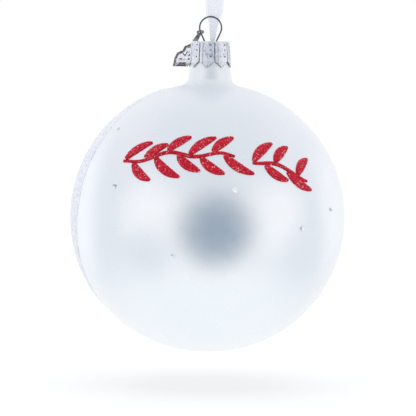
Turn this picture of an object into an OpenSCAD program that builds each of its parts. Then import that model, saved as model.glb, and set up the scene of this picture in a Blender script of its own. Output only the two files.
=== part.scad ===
// A souvenir christmas ornament: a blown glass ball whose neck sits in a stamped crown cap. A spring
// wire hanger holds the cap on, a small fir tree tag hangs on the wire, and a ribbon loop hangs it all.
// Millimetres, +Z up, with the back of the ball towards -Y. The origin is the top of the ribbon loop.
// Heights inside the modules are counted from the ball's centre, and hang() sets them below the origin.

/* [Ball] */
// Widest diameter of the glass ball
ball_d = 100; // [90:1:110]
// How much shorter than wide the ball is, pole to pole
ball_squash = 1.8; // [1:0.1:3]
// Thickness of the blown glass
glass_wall = 1.0; // [0.8:0.1:1.2]
// Outer diameter of the neck's mouth
neck_d = 13; // [12.6:0.1:13.1]
// Radius of the curve from the neck into the ball
neck_fillet = 3.6; // [3:0.1:4.5]

/* [Cap] */
// Outer diameter of the cap at its top
cap_d = 14.1; // [14:0.1:14.6]
// Outer diameter of the cap at the tips of its tabs
cap_tip_d = 15.3; // [15.2:0.1:16]
// Height of the cap from its tabs' tips to its top
cap_h = 9.6; // [9:0.1:10]
// Thickness of the stamped sheet
sheet = 0.25; // [0.2:0.05:0.3]
// Number of tabs round the skirt
tabs = 8; // [6:1:10]
// Width of the slits between the tabs
slit_w = 0.35; // [0.3:0.05:0.6]
// Height of the pointed end of each tab
tab_point = 2.3; // [1.5:0.1:3]

/* [Hanger wire] */
// Diameter of the spring wire
wire_d = 0.6; // [0.5:0.05:0.7]
// Radius of the wire's loop, at its centre line
loop_r = 4.0; // [3.5:0.1:4.2]
// Height of the loop's centre above the cap
loop_rise = 4.95; // [4.8:0.05:5.5]
// Distance of each leg from the axis where it passes the cap
leg_in = 2.2; // [2:0.1:2.4]
// Distance of each leg from the axis inside the neck
leg_out = 4.9; // [4.5:0.1:5]
// How far the legs reach below the cap's top
leg_reach = 20.5; // [18:0.5:24]

/* [Ribbon] */
// Width of the sheer ribbon
ribbon_w = 6; // [5:0.5:7]
// Height of the ribbon loop above the cap
ribbon_drop = 75; // [60:1:90]
// Radius of the loop's turn at the top
turn_r = 5; // [4:0.5:8]

/* [Tag] */
// Length of the tag from its eye's centre to its foot
tag_l = 30; // [26:0.5:32]
// Widest width of the tag
tag_w = 8.4; // [8:0.2:10]
// Thickness of the tag
tag_t = 0.7; // [0.6:0.1:0.9]

/* [Decoration] */
// Height of the raised glitter strokes
stroke_h = 0.5; // [0.3:0.05:0.8]
// Direction that the front picture faces, counted from the back towards +X
front_turn = -138; // [-160:1:-120]
// How far the front picture faces upwards
front_lift = 8; // [0:1:9]
// Angular radius of the white glitter border
border_angle = 68; // [60:1:69]
// Angular radius of the picture inside the border
picture_angle = 46; // [40:1:48]

/* [Hidden] */
$fn = 96;
belly_shift = ball_squash / 2;
belly_r = ball_d / 2 - belly_shift;
neck_r = neck_d / 2;
neck_root_r = neck_r + 1.3;
neck_top = belly_r + 14.6;
cap_top = neck_top + 0.7;
cap_tip = cap_top - cap_h;
cap_r = cap_d / 2;
cap_tip_r = cap_tip_d / 2;
ball_drop = cap_top + ribbon_drop;
skin_gap = 0.03;
layer_gap = 0.02;
hole_play = 0.25;

// The ribbon goes through a hole of its own behind the wire, and is knotted below it. It bends at
// swing_z, above the wire when the wire is pulled up.
ribbon_hole = [0.8, 2.1];
ribbon_hole_r = 1.1;
knot_r = 1.6;
ribbon_t = 0.2;
ply_gap = 0.3;
swing_gap = 0.9;
swing_z = cap_top + 14;

// Turn and elevation of each crystal on the ball in degrees, and its diameter.
crystal_spots = [
    [-43.5, 15.2, 1.8], [11, 14.9, 2.2], [-14.7, -12.8, 1.8],
    [41.8, -1.4, 1.8], [62, 5.7, 1.6], [-60.7, 41.8, 1.5]
];

// ---- Helpers -------------------------------------------------------------------------------------

module hang() {
    translate([0, 0, -ball_drop]) children();
}

function unit(v) = v / norm(v);

// A point on the ball, with turn counted from the back (-Y) towards +X. The belly is an arc whose
// centre stands belly_shift off the axis, so lift moves the point straight out of the glass.
function outward(turn, el) = [cos(el) * sin(turn), -cos(el) * cos(turn), sin(el)];
function on_ball(turn, el, lift = 0) =
    belly_shift * [sin(turn), -cos(turn), 0] + (belly_r + lift) * outward(turn, el);

// Points along an arc in the XZ plane.
function arc_xz(centre, r, a0, a1, steps) =
    [for (i = [0 : steps]) let (a = a0 + (a1 - a0) * i / steps) centre + r * [cos(a), 0, sin(a)]];

function tangent(route, i) =
    unit(route[min(i + 1, len(route) - 1)] - route[max(i - 1, 0)]);

// Closed surface through rings of n points each.
module rings_solid(rings) {
    n = len(rings[0]);
    count = len(rings);
    points = [for (ring = rings) for (p = ring) p];
    sides = [for (k = [0 : count - 2]) for (j = [0 : n - 1])
        [k * n + j, k * n + (j + 1) % n, (k + 1) * n + (j + 1) % n, (k + 1) * n + j]];
    foot = [[for (j = [n - 1 : -1 : 0]) j]];
    top = [[for (j = [0 : n - 1]) (count - 1) * n + j]];
    polyhedron(points, concat(sides, foot, top), convexity = 6);
}

// A section swept along a route: its first axis stays along wide, its second stands off the route.
module sweep(route, wide, section) {
    rings_solid([for (i = [0 : len(route) - 1])
        let (off = unit(cross(tangent(route, i), wide)))
        [for (s = section) route[i] + s[0] * wide + s[1] * off]]);
}

function round_section(r, sides) =
    [for (i = [0 : sides - 1]) r * [cos(360 * i / sides), sin(360 * i / sides)]];
function flat_section(w, t) = [
    [w / 2, -t / 4], [w / 2, t / 4], [w / 2 - t, t / 2], [-w / 2 + t, t / 2],
    [-w / 2, t / 4], [-w / 2, -t / 4], [-w / 2 + t, -t / 2], [w / 2 - t, -t / 2]
];

// ---- Ribbon --------------------------------------------------------------------------------------

// One run of the ribbon from the swing point up to the turn, side -1 for the front run, 1 for the back.
function run_y(side, z) =
    let (low = ribbon_hole[1] + side * ply_gap / 2, up = (z - cap_top) / (ribbon_drop - turn_r))
    low + (side * turn_r - low) * up;
function run_point(side, z) = [ribbon_hole[0] * (ball_drop - z) / ribbon_drop, run_y(side, z), z];

loop_foot = swing_z + swing_gap;
loop_shoulder = ball_drop - turn_r;
run_steps = 8;
turn_steps = 10;

module ribbon_loop() {
    rise = loop_shoulder - loop_foot;
    front_run = [for (i = [0 : run_steps - 1]) run_point(-1, loop_foot + rise * i / run_steps)];
    turn = [for (i = [0 : turn_steps]) let (a = 180 - 180 * i / turn_steps)
        [run_point(1, loop_shoulder)[0], turn_r * cos(a),
            loop_shoulder + (turn_r - ribbon_t / 2) * sin(a)]];
    back_run = [for (i = [run_steps - 1 : -1 : 0]) run_point(1, loop_foot + rise * i / run_steps)];
    color("white") hang()
        sweep(concat(front_run, turn, back_run), [1, 0, 0], flat_section(ribbon_w, ribbon_t));
}

// The two plies together, narrowing as they gather into the hole. Each row is a height above the cap
// and the width there.
gather = [[-1, 1.7], [0, 1.7], [7.4, 3.6], [9.6, 5.2], [12, 6]];
tail_foot = cap_top - 1;

module ribbon_tail() {
    tail_top = swing_z - swing_gap;
    steps = 8;
    heights = [for (i = [0 : steps]) tail_top + (tail_foot - tail_top) * i / steps];
    color("white") hang()
        rings_solid([for (z = heights)
            let (
                middle = (run_point(-1, z) + run_point(1, z)) / 2,
                w = lookup(z - cap_top, gather) * ribbon_w / 6)
            [for (s = flat_section(w, 2 * ribbon_t)) middle + [s[0], -s[1], 0]]]);
}

module ribbon_knot() {
    color("white") hang()
        translate([ribbon_hole[0], ribbon_hole[1] + 0.2, tail_foot - knot_r])
            sphere(r = knot_r, $fn = 48);
}

// ---- Cap -----------------------------------------------------------------------------------------

module cap_profile() {
    corner = 0.35;
    inner_top = cap_top - sheet;
    polygon([
        [0, cap_top], [cap_r - corner, cap_top], [cap_r, cap_top - corner], [cap_tip_r, cap_tip],
        [cap_tip_r - sheet, cap_tip], [cap_r - sheet, cap_top - corner - sheet / 2],
        [cap_r - sheet - corner / 2, inner_top], [0, inner_top]
    ]);
}

// One slit, with the notch below it that leaves the tabs on both its sides pointed.
module slit_cutter(turn) {
    overlap = 0.1;
    below_tips = 0.5;
    notch_reach = 2;
    slit_foot = cap_tip + tab_point;
    slit_top = cap_top - 0.6;
    half_notch = cap_r * tan(180 / tabs) * (1 + below_tips / tab_point);
    rotate([0, 0, turn - 90]) {
        translate([cap_r / 2, -slit_w / 2, slit_foot - overlap])
            cube([cap_r, slit_w, slit_top - slit_foot + overlap]);
        translate([cap_r - notch_reach, 0, 0]) rotate([90, 0, 90])
            linear_extrude(height = 2 * notch_reach)
                polygon([
                    [-slit_w / 2, slit_foot], [slit_w / 2, slit_foot],
                    [half_notch, cap_tip - below_tips], [-half_notch, cap_tip - below_tips]
                ]);
    }
}

module cap_crown() {
    slit_start = 12.7;
    drill = 2;
    color("silver") hang()
        difference() {
            rotate_extrude() cap_profile();
            for (k = [0 : tabs - 1]) slit_cutter(slit_start + k * 360 / tabs);
            for (x = [-leg_in, leg_in])
                translate([x, 0, cap_top - drill / 2])
                    cylinder(r = wire_d / 2 + hole_play, h = drill, $fn = 32);
            translate([ribbon_hole[0], ribbon_hole[1], cap_top - drill / 2])
                cylinder(r = ribbon_hole_r, h = drill, $fn = 32);
        }
}

// ---- Hanger wire ---------------------------------------------------------------------------------

// The legs leave the loop along its tangents and meet the cap leg_in off the axis.
meet = norm([leg_in, loop_rise]);
tangent_angle = acos(loop_r / meet) - atan2(loop_rise, leg_in);
bend_top = cap_top - 4;
bend_foot = cap_top - 13;
bend_steps = 8;

// The right leg from the loop's tangent point down to its end.
right_leg = concat(
    [[leg_in + 0.02, 0, cap_top + 0.12], [leg_in, 0, cap_top - 0.15]],
    [for (i = [0 : bend_steps]) let (s = i / bend_steps)
        [leg_in + (leg_out - leg_in) * (1 - cos(180 * s)) / 2, 0, bend_top + (bend_foot - bend_top) * s]],
    [[leg_out, 0, cap_top - leg_reach]]
);

module hanger_wire() {
    loop = arc_xz([0, 0, cap_top + loop_rise], loop_r, 180 - tangent_angle, tangent_angle, 26);
    left_leg = [for (i = [len(right_leg) - 1 : -1 : 0]) [-right_leg[i][0], 0, right_leg[i][2]]];
    color("dimgray") hang()
        sweep(concat(left_leg, loop, right_leg), [0, 1, 0], round_section(wire_d / 2, 10));
}

// ---- Tag -----------------------------------------------------------------------------------------

// The eye hangs on the wire's left leg, and the tag leans back over the cap's rim.
tag_eye = [-3.7, 0, cap_top + 3.3];
lean_turn = 106;
lean_gap = 0.1;
eye_hole_r = 0.85;
eye_r = 1.35;
rim_reach = cap_r - tag_eye[0] * cos(lean_turn);
rim_drop = tag_eye[2] - cap_top;
tag_tilt = acos(-(tag_t / 2 + lean_gap) / norm([rim_reach, rim_drop])) - atan2(rim_drop, rim_reach);

// Half of the tag's tree, from its foot to its tip: how far down the length, and how far out.
tree_steps = [
    [1, 0.68], [0.78, 0.94], [0.62, 0.98], [0.55, 0.6], [0.43, 0.64], [0.36, 0.26], [0.03, 0.16]
];

// The pierced triangles on one side, which are mirrored on the other: how far across, as part of the
// width, how far down, as part of the length, the radius, and how much longer than wide.
tree_holes = [[0.13, 0.61, 0.9, 2.4], [0.2, 0.765, 0.75, 1], [0.22, 0.89, 0.8, 1]];

module tree_outline(steps, length, width) {
    right = [for (s = steps) [s[1] * width / 2, -s[0] * length]];
    left = [for (i = [len(right) - 1 : -1 : 0]) [-right[i][0], right[i][1]]];
    polygon(concat(right, left));
}

module tag_holes() {
    for (side = [-1, 1], hole = tree_holes)
        scale([side, 1]) translate([hole[0] * tag_w, -hole[1] * tag_l]) scale([1, hole[3]])
            circle(r = hole[2], $fn = 3);
}

module tag_plate() {
    color("darkgray") hang()
        translate(tag_eye) rotate([0, 0, lean_turn - 90]) rotate([90 + tag_tilt, 0, 0])
            translate([0, 0, -tag_t / 2]) linear_extrude(height = tag_t)
                difference() {
                    union() {
                        circle(r = eye_r, $fn = 40);
                        tree_outline(tree_steps, tag_l, tag_w);
                    }
                    circle(r = eye_hole_r, $fn = 40);
                    tag_holes();
                }
}

// ---- Ball ----------------------------------------------------------------------------------------

// The ball's right half in section, drawn in from its outside by inset.
module body_profile(inset, top) {
    arc_r = belly_r - inset;
    fillet_r = neck_fillet + inset;
    fillet_x = neck_root_r + neck_fillet;
    fillet_z = sqrt(pow(belly_r + neck_fillet, 2) - pow(fillet_x - belly_shift, 2));
    toward = unit([fillet_x - belly_shift, fillet_z]);
    touch = [belly_shift, 0] + (arc_r - 0.01) * toward;
    intersection() {
        translate([belly_shift, 0]) circle(r = arc_r, $fn = 256);
        translate([0, -ball_d]) square([ball_d, 2 * ball_d]);
    }
    difference() {
        polygon([[0, touch[1] - 6], touch, [fillet_x, fillet_z], [0, fillet_z]]);
        translate([fillet_x, fillet_z]) circle(r = fillet_r, $fn = 128);
    }
    polygon([
        [0, touch[1] - 6], [neck_root_r - inset - 0.5, touch[1] - 1], [neck_root_r - inset, fillet_z],
        [neck_r + 0.95 - inset, neck_top - 10], [neck_r + 0.5 - inset, neck_top - 7.7],
        [neck_r + 0.1 - inset, neck_top - 4.7], [neck_r - inset, neck_top - 2.7],
        [neck_r - inset, top], [0, top]
    ]);
}

module glass_ball() {
    color("whitesmoke") hang()
        rotate_extrude()
            difference() {
                body_profile(0, neck_top);
                body_profile(glass_wall, neck_top + 1);
            }
}

// ---- Decoration on the ball ----------------------------------------------------------------------

// A raised stroke of glitter along points [turn, elevation, width] on the ball.
module stroke(spots) {
    route = [for (s = spots) on_ball(s[0], s[1], skin_gap + 0.04)];
    rings_solid([for (i = [0 : len(spots) - 1])
        let (
            up = outward(spots[i][0], spots[i][1]),
            side = unit(cross(tangent(route, i), up)),
            half = spots[i][2] / 2,
            rise = stroke_h * min(1, 0.35 + spots[i][2] / 3))
        [
            route[i] + half * side, route[i] + 0.75 * half * side + 0.7 * rise * up, route[i] + rise * up,
            route[i] - 0.75 * half * side + 0.7 * rise * up, route[i] - half * side
        ]]);
}

// The sprigs follow one arch over the back of the ball, with a gentle wave.
arch_top = 30.5;
arch_middle = -6;
arch_fall = 0.004;
wave = 1.2;
wave_rate = 14;
function arch_el(turn) = arch_top - arch_fall * pow(turn - arch_middle, 2) + wave * sin(turn * wave_rate);

leaf_long = 12;
leaf_short = 10;
leaf_lean = 60;
leaf_curl = 22;
leaf_tip_w = 0.4;
leaf_swell = 3.2;
stem_gap = 0.9;
mm_to_deg = 180 / (PI * ball_d / 2);

// A leaf leaves the stem at turn, on the upper side for 1 or the lower side for -1.
module leaf(turn, side, length) {
    steps = 7;
    el = arch_el(turn);
    stroke([for (i = [0 : steps])
        let (s = i / steps, along = s * length, bend = leaf_lean - leaf_curl * s)
        [
            turn + along * cos(bend) * mm_to_deg / cos(el),
            el + side * (stem_gap + along) * sin(bend) * mm_to_deg,
            leaf_tip_w + leaf_swell * pow(sin(180 * min(1, 0.08 + 0.9 * s)), 0.7)
        ]]);
}

// Each third leaf is a long one, and the leaves take turns above and below the stem.
module sprig(start, finish, leaves) {
    stem_steps = 22;
    pitch = (finish - start) / leaves;
    stroke([for (i = [0 : stem_steps])
        let (s = i / stem_steps, turn = start + (finish - start) * s)
        [turn, arch_el(turn), 1.1 + 0.5 * sin(180 * s)]]);
    for (k = [0 : leaves - 1])
        leaf(start + pitch * (k + 0.15), k % 2 == 0 ? 1 : -1, k % 3 == 0 ? leaf_long : leaf_short);
}

module sprig_left() {
    color("crimson") hang() sprig(-42, 12, 10);
}

module sprig_right() {
    color("crimson") hang() sprig(20, 47, 5);
}

module crystals() {
    color("lightcyan") hang()
        for (spot = crystal_spots)
            translate(on_ball(spot[0], spot[1], skin_gap))
                rotate([0, 90 - spot[1], spot[0] - 90])
                    cylinder(r1 = spot[2] / 2, r2 = spot[2] / 4, h = spot[2] * 0.4, $fn = 32);
}

// A layer that follows the glass, from low to high above it, in front of children().
module front_layer(low, high) {
    intersection() {
        rotate_extrude()
            intersection() {
                translate([belly_shift, 0])
                    difference() {
                        circle(r = belly_r + high, $fn = 256);
                        circle(r = belly_r + low, $fn = 256);
                    }
                translate([0, -ball_d]) square([ball_d, 2 * ball_d]);
            }
        rotate([0, 0, front_turn - 90]) rotate([0, 90 - front_lift, 0]) rotate([0, 0, 90]) children();
    }
}

module cone_of(half_angle) {
    cylinder(r1 = 0, r2 = ball_d * tan(half_angle), h = ball_d, $fn = 256);
}

sky_h = 0.15;
layer_h = 0.3;
border_h = 0.5;
border_seam = 0.1;
snow_low = skin_gap + sky_h + layer_gap;
relief_low = snow_low + layer_h + layer_gap;

// The glitter is laid in two halves, which stop just short of each other at the top and the foot.
module front_border() {
    color("white") hang()
        front_layer(skin_gap, skin_gap + border_h)
            difference() {
                cone_of(border_angle);
                cone_of(picture_angle + 0.5);
                translate([-border_seam / 2, -ball_d, 0]) cube([border_seam, 2 * ball_d, ball_d]);
            }
}

module front_sky() {
    color("lightsteelblue") hang()
        front_layer(skin_gap, skin_gap + sky_h) cone_of(picture_angle);
}

// Two snow hills: centre across and up, and radius.
hills = [[-16, -62, 52], [24, -56, 44]];

module front_snow() {
    color("snow") hang()
        front_layer(snow_low, snow_low + layer_h)
            linear_extrude(height = ball_d)
                intersection() {
                    circle(r = belly_r * sin(picture_angle) - 1);
                    for (h = hills) translate([h[0], h[1]]) circle(r = h[2]);
                }
}

// Houses stand on the snow in one row: place, width, wall height and roof height.
houses = [[-21, 9, 8, 5], [-10.5, 8, 12, 6], [-1, 9, 9, 6], [9.5, 8, 11, 5]];
street = -12;

module front_houses() {
    color("peru") hang()
        front_layer(relief_low, relief_low + layer_h)
            for (h = houses)
                translate([h[0], street, 0])
                    linear_extrude(height = ball_d)
                        polygon([
                            [-h[1] / 2, 0], [h[1] / 2, 0], [h[1] / 2, h[2]],
                            [0, h[2] + h[3]], [-h[1] / 2, h[2]]
                        ]);
}

// Trees: place across, foot, height. Each has a thin trunk and three tiers.
firs = [[20, -17, 17], [27, -20, 12], [-28, -18, 12], [13.5, -24, 10]];
fir_spread = 0.55;
fir_steps = [
    [1, 0.12], [0.88, 0.12], [0.88, 1], [0.6, 0.45], [0.62, 0.75], [0.33, 0.25], [0.35, 0.5], [0, 0.02]
];

module front_trees() {
    color("seagreen") hang()
        front_layer(relief_low, relief_low + layer_h)
            for (f = firs)
                translate([f[0], f[1] + f[2], 0])
                    linear_extrude(height = ball_d) tree_outline(fir_steps, f[2], f[2] * fir_spread);
}

moon = [14, 20];
moon_r = 5;
star_r = 0.8;
stars = [[-20, 17], [-8, 25], [4, 18], [24, 10], [-3, 10], [-28, 5], [20, -1]];

module front_moon_stars() {
    color("gold") hang()
        front_layer(snow_low, snow_low + layer_h)
            union() {
                translate([moon[0], moon[1], 0]) cylinder(r = moon_r, h = ball_d, $fn = 48);
                for (s = stars) translate([s[0], s[1], 0]) cylinder(r = star_r, h = ball_d, $fn = 24);
            }
}

ribbon_loop();
ribbon_tail();
ribbon_knot();
cap_crown();
hanger_wire();
tag_plate();
glass_ball();
sprig_left();
sprig_right();
crystals();
front_border();
front_sky();
front_snow();
front_houses();
front_trees();
front_moon_stars();
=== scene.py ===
"""The looks of the christmas ornament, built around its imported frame. Lengths are in metres."""

from math import acos, atan2, ceil, cos, degrees, hypot, pi, radians, sin, sqrt

import bpy
import numpy as np
from mathutils import Matrix, Vector
from mathutils.geometry import delaunay_2d_cdt


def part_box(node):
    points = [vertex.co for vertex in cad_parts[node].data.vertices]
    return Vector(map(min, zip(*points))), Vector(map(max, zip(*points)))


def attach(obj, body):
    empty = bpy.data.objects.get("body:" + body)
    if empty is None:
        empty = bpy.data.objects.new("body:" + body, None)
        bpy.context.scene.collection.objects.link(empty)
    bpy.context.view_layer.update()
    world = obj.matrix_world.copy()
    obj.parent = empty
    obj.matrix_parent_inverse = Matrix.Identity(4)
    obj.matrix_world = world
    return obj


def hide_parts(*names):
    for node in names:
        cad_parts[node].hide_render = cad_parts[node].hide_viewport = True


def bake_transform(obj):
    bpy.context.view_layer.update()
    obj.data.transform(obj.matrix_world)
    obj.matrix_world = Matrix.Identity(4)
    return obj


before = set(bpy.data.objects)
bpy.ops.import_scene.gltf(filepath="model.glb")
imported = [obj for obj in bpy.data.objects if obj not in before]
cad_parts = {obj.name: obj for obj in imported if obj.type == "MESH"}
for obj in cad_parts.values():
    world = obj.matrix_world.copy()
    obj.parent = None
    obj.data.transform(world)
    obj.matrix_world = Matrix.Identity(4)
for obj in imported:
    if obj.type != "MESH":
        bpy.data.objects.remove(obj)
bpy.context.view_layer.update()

MM = 0.001

# ---- Sizes, from the frame where its boxes give them -----

ball_lo, ball_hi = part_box("glass_ball")
cap_lo, cap_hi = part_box("cap_crown")
BELLY_SHIFT = 0.9 * MM
BELLY_R = (ball_hi.x - ball_lo.x) / 2 - BELLY_SHIFT
CENTRE = Vector((0, 0, ball_lo.z + sqrt(BELLY_R**2 - BELLY_SHIFT**2)))
CAP_TOP = cap_hi.z
CAP_TIP = cap_lo.z
NECK_TOP = ball_hi.z

GLASS_WALL = 1.0 * MM
NECK_R = 6.5 * MM
NECK_ROOT_R = 7.8 * MM
NECK_FILLET = 3.6 * MM

CAP_R = 7.05 * MM
CAP_TIP_R = 7.65 * MM
SHEET = 0.25 * MM
TABS = 8
FIRST_SLIT = 12.7
SLIT_W = 0.35 * MM
TAB_POINT = 2.3 * MM

WIRE_R = 0.3 * MM
LOOP_R = 4.0 * MM
LOOP_RISE = 4.95 * MM
LEG_IN = 2.2 * MM
LEG_OUT = 4.9 * MM
LEG_REACH = 20.5 * MM

RIBBON_W = 6.0 * MM
RIBBON_HOLE = Vector((0.8 * MM, 2.1 * MM))
RIBBON_HOLE_R = 1.1 * MM
TURN_R = 5.0 * MM
PLY_GAP = 0.3 * MM
THREAD_PITCH = 0.16 * MM

TAG_EYE = Vector((-3.7 * MM, 0, CAP_TOP + 3.3 * MM))
TAG_TURN = radians(106)
TAG_LEAN_GAP = 0.1 * MM
TAG_L = 30 * MM
TAG_W = 8.4 * MM
TAG_T = 0.7 * MM

SKIN_GAP = 0.03 * MM
FRONT_TURN = radians(-138)
FRONT_LIFT = radians(8)
BORDER_ANGLE = radians(67.4)
PICTURE_ANGLE = radians(46)

rng = np.random.default_rng(12)


def add_object(name, data):
    obj = bpy.data.objects.new(name, data)
    bpy.context.collection.objects.link(obj)
    return obj


# ---- Camera ----------------------------------------------

CAMERA_TARGET = CENTRE + Vector((-0.09 * MM, 0, 3.4 * MM))
CAMERA_DISTANCE = 1.0
CAMERA_PITCH = radians(3.5)
CAMERA_ROLL = radians(0.75)
FRAME_WIDTH = 152.5 * MM
SENSOR = 36.0


def make_camera():
    data = bpy.data.cameras.new("camera")
    data.sensor_width = SENSOR
    data.lens = SENSOR * CAMERA_DISTANCE / FRAME_WIDTH
    data.clip_start = 0.01
    camera = add_object("camera", data)
    back = Vector((0, -cos(CAMERA_PITCH), sin(CAMERA_PITCH)))
    camera.location = CAMERA_TARGET + CAMERA_DISTANCE * back
    turn = Matrix.Rotation(pi / 2 - CAMERA_PITCH, 3, "X") @ Matrix.Rotation(CAMERA_ROLL, 3, "Z")
    camera.rotation_euler = turn.to_euler()
    bpy.context.scene.camera = camera


make_camera()


# ---- Shading helpers -------------------------------------


class Nodes:
    """A node tree and short ways to build it."""

    def __init__(self, tree):
        self.nodes, self.links = tree.nodes, tree.links

    def node(self, kind, inputs=None, **settings):
        made = self.nodes.new("ShaderNode" + kind)
        for key, value in settings.items():
            setattr(made, key, value)
        for key, value in (inputs or {}).items():
            self.feed(made, key, value)
        return made

    def feed(self, node, key, value):
        if isinstance(value, bpy.types.NodeSocket):
            self.links.new(value, node.inputs[key])
        else:
            node.inputs[key].default_value = value

    def mix(self, amount, first, second):
        """From the first colour towards the second, which is a plain one."""
        inputs = {"Factor": amount, "A": first, "B": (*second, 1.0)}
        return self.node("Mix", inputs, data_type="RGBA").outputs["Result"]


class Surface(Nodes):
    """A node material around one Principled shader."""

    def __init__(self, name, **values):
        self.material = bpy.data.materials.new(name)
        self.material.use_nodes = True
        super().__init__(self.material.node_tree)
        self.shader = self.nodes["Principled BSDF"]
        for socket, value in values.items():
            self.drive(socket.replace("_", " "), value)

    def drive(self, socket, value):
        self.feed(self.shader, socket, value)

    def place(self):
        return self.node("TexCoord").outputs["Object"]

    def noise(self, scale, detail=2.0, where=None):
        inputs = {"Vector": where or self.place(), "Scale": scale, "Detail": detail}
        return self.node("TexNoise", inputs).outputs["Fac"]

    def math(self, operation, a, b=0.0):
        return self.node("Math", {0: a, 1: b}, operation=operation).outputs[0]

    def vector(self, operation, inputs):
        return self.node("VectorMath", inputs, operation=operation).outputs[0]

    def fit(self, value, low, high, to_low=0.0, to_high=1.0):
        inputs = {"Value": value, "From Min": low, "From Max": high, "To Min": to_low, "To Max": to_high}
        return self.node("MapRange", inputs).outputs["Result"]

    def mottle(self, scale, detail, low, high):
        """Noise spread over low to high."""
        return self.fit(self.noise(scale, detail), 0.3, 0.7, low, high)

    def ramp(self, value, stops, interpolation="LINEAR"):
        made = self.node("ValToRGB", {"Fac": value})
        elements = made.color_ramp.elements
        made.color_ramp.interpolation = interpolation
        while len(elements) < len(stops):
            elements.new(1.0)
        for element, (position, colour) in zip(elements, stops):
            element.position = position
            element.color = (*colour, 1.0)
        return made.outputs["Color"]

    def paint(self, value, stops, interpolation="LINEAR"):
        self.drive("Base Color", self.ramp(value, stops, interpolation))

    def bump(self, height, strength, distance):
        inputs = {"Height": height, "Strength": strength, "Distance": distance}
        self.drive("Normal", self.node("Bump", inputs).outputs["Normal"])

    def stain_and_shade(self, clean, stain, mark="stain"):
        """The clean colour, turned towards a second colour where the mesh's own mark attribute says so;
        callers use it for real stains and patina, and for painted shade.
        """
        amount = self.node("Attribute", attribute_name=mark).outputs["Fac"]
        broken = self.math("MULTIPLY", amount, self.fit(self.noise(1500.0, 3.0), 0.3, 0.6, 0.55, 1.0))
        return self.mix(broken, clean, stain)

    def flakes(self, scale, tilt):
        """Glitter: every cell of a fine Voronoi pattern is a flake with its own lean and its own number."""
        cells = self.node("TexVoronoi", {"Vector": self.place(), "Scale": scale}).outputs["Color"]
        lean = self.vector("SUBTRACT", {0: cells, 1: (0.5, 0.5, 0.5)})
        lean = self.vector("SCALE", {0: lean, "Scale": tilt})
        total = self.vector("ADD", {0: self.node("NewGeometry").outputs["Normal"], 1: lean})
        self.drive("Normal", self.vector("NORMALIZE", {0: total}))
        return self.node("SeparateColor", {"Color": cells}).outputs["Green"]


# How far above the ball's centre the lacquer starts to turn duller and has turned, in belly radii.
DULL_FROM, DULL_TO = 0.78, 0.98


def frosted_glass():
    """Pearl lacquer over silvered glass: a soft mirror with a fine tooth, duller towards the neck."""
    s = Surface("frosted_glass", Metallic=0.85)
    s.paint(s.noise(60.0, 3.0), [(0.3, (0.925, 0.95, 0.97)), (0.7, (0.945, 0.962, 0.98))])
    height = s.node("SeparateXYZ", {"Vector": s.place()}).outputs["Z"]
    neck = s.fit(height, CENTRE.z + DULL_FROM * BELLY_R, CENTRE.z + DULL_TO * BELLY_R, 0.0, 0.22)
    s.drive("Roughness", s.math("ADD", s.mottle(220.0, 4.0, 0.27, 0.32), neck))
    s.bump(s.noise(420.0, 2.0), 0.05, 0.00002)
    return s.material


def glitter(name, scale, tilt, stops, **values):
    """Flakes that lean by up to tilt, each in one of the colours of stops."""
    s = Surface(name, **values)
    s.paint(s.flakes(scale, tilt), stops, "CONSTANT")
    return s.material


def red_glitter():
    return glitter("red_glitter", 3000.0, 0.8, [
        (0.0, (0.40, 0.002, 0.016)), (0.25, (0.62, 0.004, 0.030)), (0.62, (0.76, 0.010, 0.045)),
        (0.85, (0.84, 0.055, 0.10)), (0.94, (0.93, 0.32, 0.22)), (0.975, (0.97, 0.55, 0.50)),
    ], Metallic=0.55, Roughness=0.34)


def white_glitter():
    return glitter("white_glitter", 2600.0, 0.7, [
        (0.0, (0.80, 0.82, 0.90)), (0.35, (0.92, 0.93, 0.97)), (0.75, (0.98, 0.98, 1.0)),
        (0.92, (0.86, 0.92, 0.99)), (0.97, (0.99, 0.93, 0.98)),
    ], Metallic=0.35, Roughness=0.35)


def coloured_glitter(name, dark, main, light):
    stops = [(0.0, dark), (0.35, main), (0.85, light)]
    return glitter(name, 2800.0, 0.8, stops, Metallic=0.4, Roughness=0.35)


def stamped_tin():
    """Bright tin with fine upright rolling lines, warm at its cut edges, and darkened in its punched dots
    and between its beads as painted shade.
    """
    s = Surface("cap_tin", Metallic=1.0)
    grain = s.node("Mapping", {"Vector": s.place(), "Scale": (3200.0, 3200.0, 520.0)})
    lines = s.noise(1.0, 3.0, grain.outputs["Vector"])
    wear = s.math("ADD", s.math("MULTIPLY", lines, 0.6), s.math("MULTIPLY", s.noise(900.0, 5.0), 0.4))
    tin = s.ramp(wear, [(0.36, (0.54, 0.55, 0.66)), (0.46, (0.82, 0.83, 0.91)), (0.56, (1.0, 1.0, 1.0))])
    warm = s.stain_and_shade(tin, (0.55, 0.43, 0.18))
    # Painted shade: the dots attribute darkens the punched dots and the gaps between the beads to stand for
    # the shade in these hollows.
    s.drive("Base Color", s.stain_and_shade(warm, (0.07, 0.08, 0.11), "dots"))
    s.drive("Roughness", s.fit(lines, 0.3, 0.7, 0.44, 0.58))
    s.bump(lines, 0.35, 0.00005)
    return s.material


def spring_steel():
    s = Surface("spring_wire", Metallic=1.0, Roughness=0.3)
    s.paint(s.noise(900.0, 4.0), [(0.3, (0.10, 0.115, 0.13)), (0.7, (0.22, 0.24, 0.27))])
    s.drive("Roughness", s.mottle(3000.0, 2.0, 0.22, 0.42))
    s.bump(s.noise(4000.0, 2.0), 0.2, 0.00002)
    return s.material


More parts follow.
